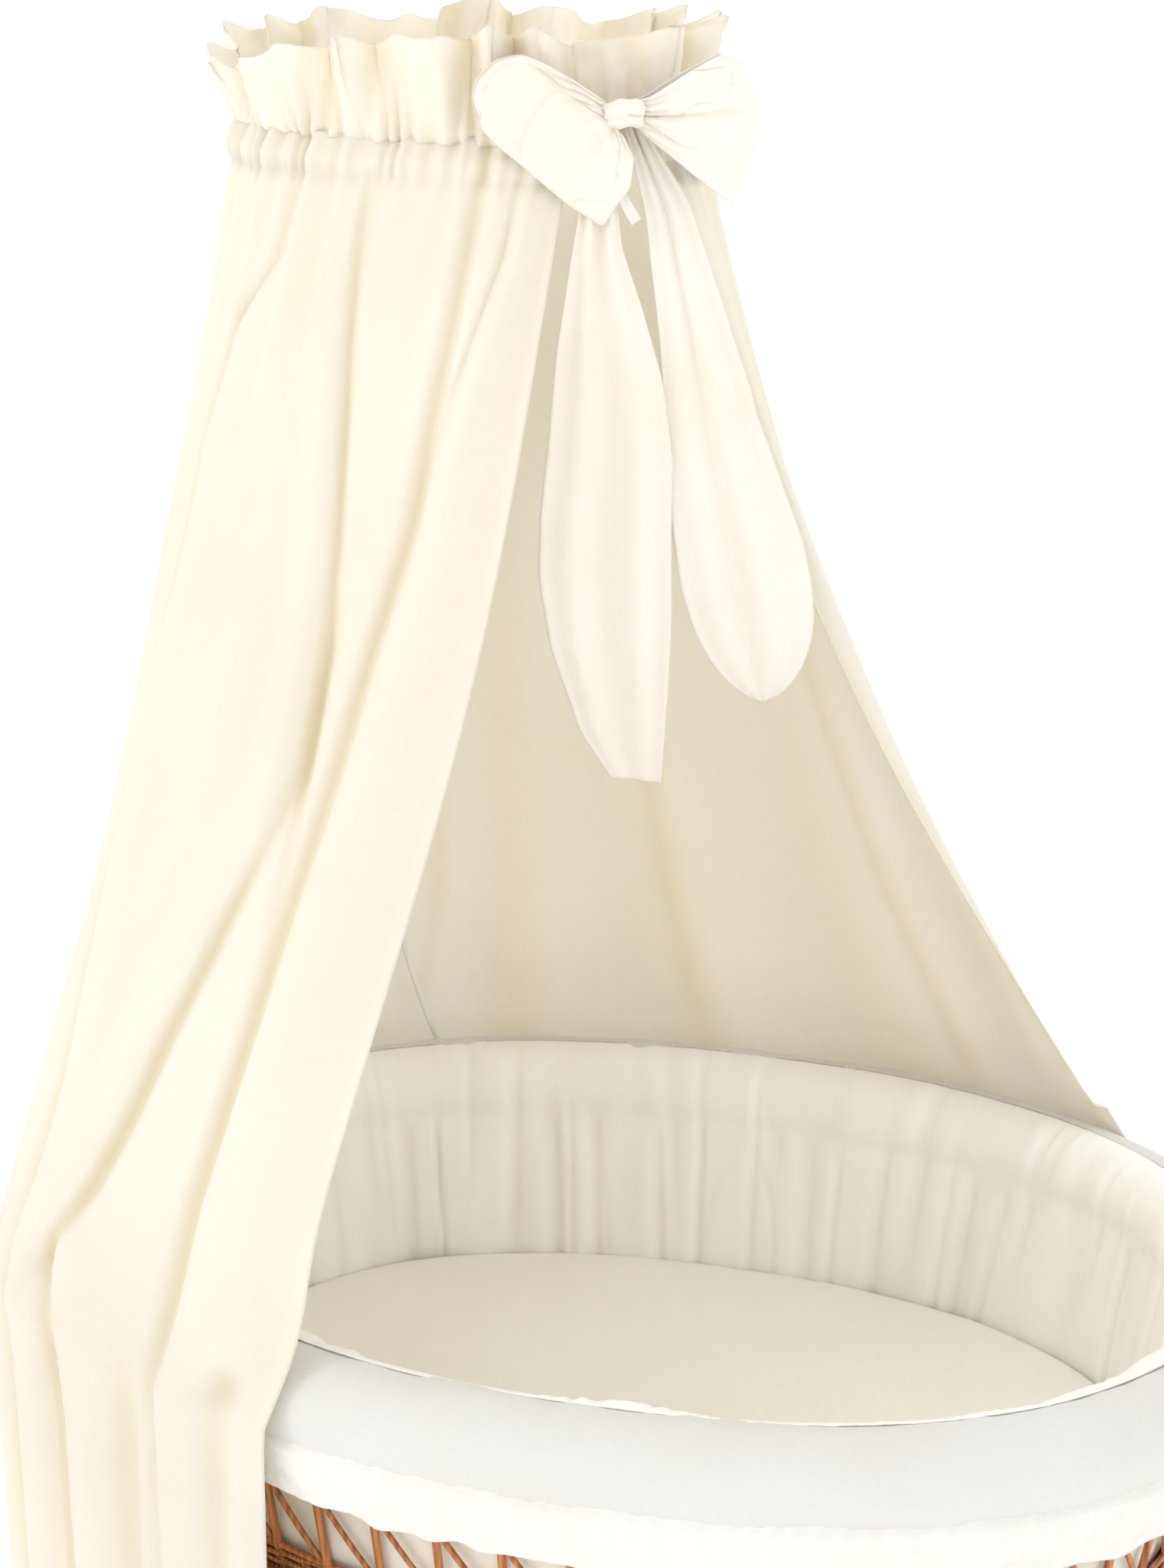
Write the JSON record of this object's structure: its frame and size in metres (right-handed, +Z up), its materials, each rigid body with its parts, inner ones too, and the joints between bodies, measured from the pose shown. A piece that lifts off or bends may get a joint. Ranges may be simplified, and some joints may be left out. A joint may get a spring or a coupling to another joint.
{
  "type": "bassinet on stand",
  "caption": "Oval wicker bassinet with padded rim, bumper, mattress, draped canopy with ruffle and bow, on a wheeled wooden stand.",
  "frame": {"origin": "centre of the object's outline, on the floor under the casters", "axes": "+X along the basket towards the foot end, +Y towards the back, away from the open side of the canopy, +Z up"},
  "size_m": [0.9876, 0.707, 1.643],
  "materials": {
    "honey_wood": "satin",
    "rattan": "satin",
    "wicker": "matte",
    "board": "matte",
    "cream_cotton": "matte",
    "ivory_sheer": "matte",
    "white_cotton": "matte",
    "white_metal": "satin",
    "steel": "satin",
    "grey_plastic": "matte",
    "tyre": "matte"
  },
  "bodies": {
    "stand": {"cradle_hoop": "honey_wood", "bearer_head": "honey_wood", "bearer_foot": "honey_wood", "end_stretcher_head": "honey_wood", "end_stretcher_foot": "honey_wood", "long_stretcher": "honey_wood", "leg_foot_back": "honey_wood", "leg_bolt_foot_back": "steel", "caster_socket_foot_back": "steel", "leg_head_back": "honey_wood", "leg_bolt_head_back": "steel", "caster_socket_head_back": "steel", "leg_head_front": "honey_wood", "leg_bolt_head_front": "steel", "caster_socket_head_front": "steel", "leg_foot_front": "honey_wood", "leg_bolt_foot_front": "steel", "caster_socket_foot_front": "steel"},
    "basket": {"lower_weave": "wicker", "base_board": "board", "lattice_band": "rattan", "upper_weave": "wicker", "rim_hoop": "rattan", "rim_padding": "cream_cotton", "valance": "white_cotton", "bumper": "cream_cotton", "pole_bracket": "white_metal", "clamp_backing_plate": "white_metal", "pole_tube": "white_metal", "pole_collar": "white_metal"},
    "mattress": {"mattress": "white_cotton", "fitted_sheet": "cream_cotton"},
    "canopy": {"canopy_rod": "white_metal", "canopy_ring": "white_metal", "canopy": "ivory_sheer", "canopy_heading": "ivory_sheer", "bow_knot": "white_cotton", "bow_loop_left": "white_cotton", "bow_loop_right": "white_cotton", "bow_tail_left": "white_cotton", "bow_tail_right": "white_cotton"},
    "collar_screw": {"collar_screw": "grey_plastic"},
    "clamp_knob_1": {"clamp_knob_1": "grey_plastic"},
    "clamp_knob_2": {"clamp_knob_2": "grey_plastic"},
    "caster_foot_back": {"caster_fork_foot_back": "steel", "caster_axle_foot_back": "steel"},
    "wheel_foot_back": {"caster_wheel_foot_back": "tyre"},
    "caster_head_back": {"caster_fork_head_back": "steel", "caster_axle_head_back": "steel"},
    "wheel_head_back": {"caster_wheel_head_back": "tyre"},
    "caster_head_front": {"caster_fork_head_front": "steel", "caster_axle_head_front": "steel"},
    "wheel_head_front": {"caster_wheel_head_front": "tyre"},
    "pedal_head_front": {"brake_pedal_head_front": "grey_plastic"},
    "caster_foot_front": {"caster_fork_foot_front": "steel", "caster_axle_foot_front": "steel"},
    "wheel_foot_front": {"caster_wheel_foot_front": "tyre"},
    "pedal_foot_front": {"brake_pedal_foot_front": "grey_plastic"}
  },
  "joints": [
    {"name": "basket_lift", "type": "slide", "parent": "stand", "child": "basket", "axis": [0, 0, 1], "range_m": [0, 0.12]},
    {"name": "mattress_lift", "type": "slide", "parent": "basket", "child": "mattress", "axis": [0, 0, 1], "range_m": [0, 0.15]},
    {"name": "canopy_height", "type": "slide", "parent": "basket", "child": "canopy", "axis": [0, 0, 1], "range_m": [0, 0.1]},
    {"name": "collar_screw_turn", "type": "hinge", "parent": "basket", "child": "collar_screw", "pos_m": [-0.24693, 0.26858, 0.7352], "axis": [-0.8905, -0.4549, 0], "range_deg": [0, 360]},
    {"name": "clamp_knob_1_turn", "type": "hinge", "parent": "basket", "child": "clamp_knob_1", "pos_m": [-0.20387, 0.23591, 0.634], "axis": [-0.4025, 0.9154, 0], "range_deg": [0, 360]},
    {"name": "clamp_knob_2_turn", "type": "hinge", "parent": "basket", "child": "clamp_knob_2", "pos_m": [-0.24568, 0.21451, 0.634], "axis": [-0.5095, 0.8604, 0], "range_deg": [0, 360]},
    {"name": "swivel_foot_back", "type": "hinge", "parent": "stand", "child": "caster_foot_back", "pos_m": [0.33427, 0.2434, 0.062], "axis": [0, 0, 1], "continuous": true},
    {"name": "roll_foot_back", "type": "hinge", "parent": "caster_foot_back", "child": "wheel_foot_back", "pos_m": [0.31827, 0.2434, 0.025], "axis": [0, 1, 0], "continuous": true},
    {"name": "swivel_head_back", "type": "hinge", "parent": "stand", "child": "caster_head_back", "pos_m": [-0.26065, 0.2434, 0.062], "axis": [0, 0, 1], "continuous": true},
    {"name": "roll_head_back", "type": "hinge", "parent": "caster_head_back", "child": "wheel_head_back", "pos_m": [-0.27665, 0.2434, 0.025], "axis": [0, 1, 0], "continuous": true},
    {"name": "swivel_head_front", "type": "hinge", "parent": "stand", "child": "caster_head_front", "pos_m": [-0.26065, -0.28043, 0.062], "axis": [0, 0, 1], "continuous": true},
    {"name": "roll_head_front", "type": "hinge", "parent": "caster_head_front", "child": "wheel_head_front", "pos_m": [-0.27665, -0.28043, 0.025], "axis": [0, 1, 0], "continuous": true},
    {"name": "brake_head_front", "type": "hinge", "parent": "caster_head_front", "child": "pedal_head_front", "pos_m": [-0.27465, -0.28043, 0.0565], "axis": [0, -1, 0], "range_deg": [0, 14]},
    {"name": "swivel_foot_front", "type": "hinge", "parent": "stand", "child": "caster_foot_front", "pos_m": [0.33427, -0.28043, 0.062], "axis": [0, 0, 1], "continuous": true},
    {"name": "roll_foot_front", "type": "hinge", "parent": "caster_foot_front", "child": "wheel_foot_front", "pos_m": [0.31827, -0.28043, 0.025], "axis": [0, 1, 0], "continuous": true},
    {"name": "brake_foot_front", "type": "hinge", "parent": "caster_foot_front", "child": "pedal_foot_front", "pos_m": [0.32027, -0.28043, 0.0565], "axis": [0, -1, 0], "range_deg": [0, 14]}
  ]
}
